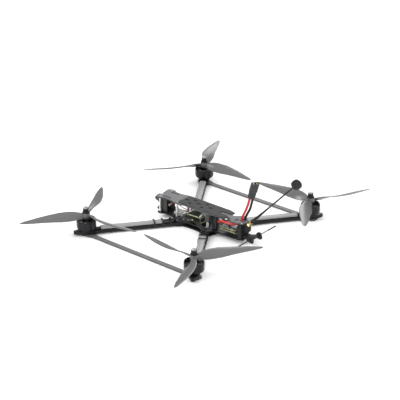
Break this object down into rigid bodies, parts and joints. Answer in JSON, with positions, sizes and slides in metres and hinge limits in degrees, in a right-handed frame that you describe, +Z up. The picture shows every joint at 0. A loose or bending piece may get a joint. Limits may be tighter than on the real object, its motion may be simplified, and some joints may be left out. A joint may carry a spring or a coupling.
{
  "type": "fpv racing drone",
  "caption": "Long-range FPV quadcopter with carbon plate X frame, spinning three-blade propellers, tilting nose camera, tail antennas and a short battery lead.",
  "frame": {"origin": "middle of the belly plate's underside, straight below the crossing of the arms", "axes": "+X to the aircraft's right, +Y forward towards the camera, +Z up along the propeller axes"},
  "size_m": [0.5606, 0.4459, 0.1604],
  "materials": {
    "carbon": "dark woven carbon fibre plate, satin",
    "carbon_light": "matt grey woven carbon fibre plate",
    "pad": "dark grey grippy rubber, matt",
    "aluminium": "turned, satin",
    "stator": "black anodised base with a wound core",
    "bell": "black anodised, semi-gloss",
    "black_metal": "black oxide, satin",
    "prop": "smoky grey nylon, satin",
    "sleeve": "smooth black tape and braid over the motor wires",
    "shell": "black moulded plastic",
    "lens": "gloss black barrel",
    "board": "dark circuit board with soldered parts",
    "wrap": "translucent grey heat shrink",
    "tpu": "black printed TPU, matt, with layer lines",
    "gold": "gold plated",
    "red_silicone": "red silicone insulation, satin",
    "black_silicone": "black silicone insulation, satin"
  },
  "bodies": {
    "airframe": {"antenna_holder": "tpu", "antenna_socket": "gold", "arm_front_left": "carbon", "arm_front_right": "carbon", "arm_rear_left": "carbon", "arm_rear_right": "carbon", "battery_lead_black": "black_silicone", "battery_lead_red": "red_silicone", "battery_pad": "pad", "battery_plug": "shell", "belly_plate": "carbon", "camera_plate_left": "carbon", "camera_plate_right": "carbon", "capacitor": "shell", "esc_board": "board", "flight_controller": "board", "inner_lead_black": "black_silicone", "inner_lead_red": "red_silicone", "middle_plate": "carbon", "motor_base_front_left": "stator", "motor_base_front_right": "stator", "motor_base_rear_left": "stator", "motor_base_rear_right": "stator", "motor_wires_front_left": "sleeve", "motor_wires_front_right": "sleeve", "motor_wires_rear_left": "sleeve", "motor_wires_rear_right": "sleeve", "rear_mount": "tpu", "receiver": "wrap", "receiver_antenna": "shell", "side_brace_left": "carbon", "side_brace_right": "carbon", "stack_screw_a": "black_metal", "stack_screw_b": "black_metal", "stack_screw_c": "black_metal", "stack_screw_d": "black_metal", "standoff_front_left": "aluminium", "standoff_front_right": "aluminium", "standoff_middle_left": "aluminium", "standoff_middle_right": "aluminium", "standoff_nose_left": "aluminium", "standoff_nose_right": "aluminium", "top_plate": "carbon_light", "video_antenna": "shell", "video_transmitter": "board"},
    "rotor_front_left": {"motor_bell_front_left": "bell", "propeller_front_left": "prop", "prop_nut_front_left": "black_metal"},
    "rotor_front_right": {"motor_bell_front_right": "bell", "propeller_front_right": "prop", "prop_nut_front_right": "black_metal"},
    "rotor_rear_left": {"motor_bell_rear_left": "bell", "propeller_rear_left": "prop", "prop_nut_rear_left": "black_metal"},
    "rotor_rear_right": {"motor_bell_rear_right": "bell", "propeller_rear_right": "prop", "prop_nut_rear_right": "black_metal"},
    "camera": {"camera_body": "shell", "camera_lens": "lens"}
  },
  "joints": [
    {"name": "spin_front_left", "type": "hinge", "parent": "airframe", "child": "rotor_front_left", "pos_m": [-0.1668, 0.136, 0.0393], "axis": [0, 0, 1], "continuous": true},
    {"name": "spin_front_right", "type": "hinge", "parent": "airframe", "child": "rotor_front_right", "pos_m": [0.1668, 0.136, 0.0393], "axis": [0, 0, 1], "continuous": true},
    {"name": "spin_rear_left", "type": "hinge", "parent": "airframe", "child": "rotor_rear_left", "pos_m": [-0.1668, -0.136, 0.0393], "axis": [0, 0, 1], "continuous": true},
    {"name": "spin_rear_right", "type": "hinge", "parent": "airframe", "child": "rotor_rear_right", "pos_m": [0.1668, -0.136, 0.0393], "axis": [0, 0, 1], "continuous": true},
    {"name": "camera_tilt", "type": "hinge", "parent": "airframe", "child": "camera", "pos_m": [0, 0.086, 0.026], "axis": [1, 0, 0], "range_deg": [-10, 25]}
  ]
}
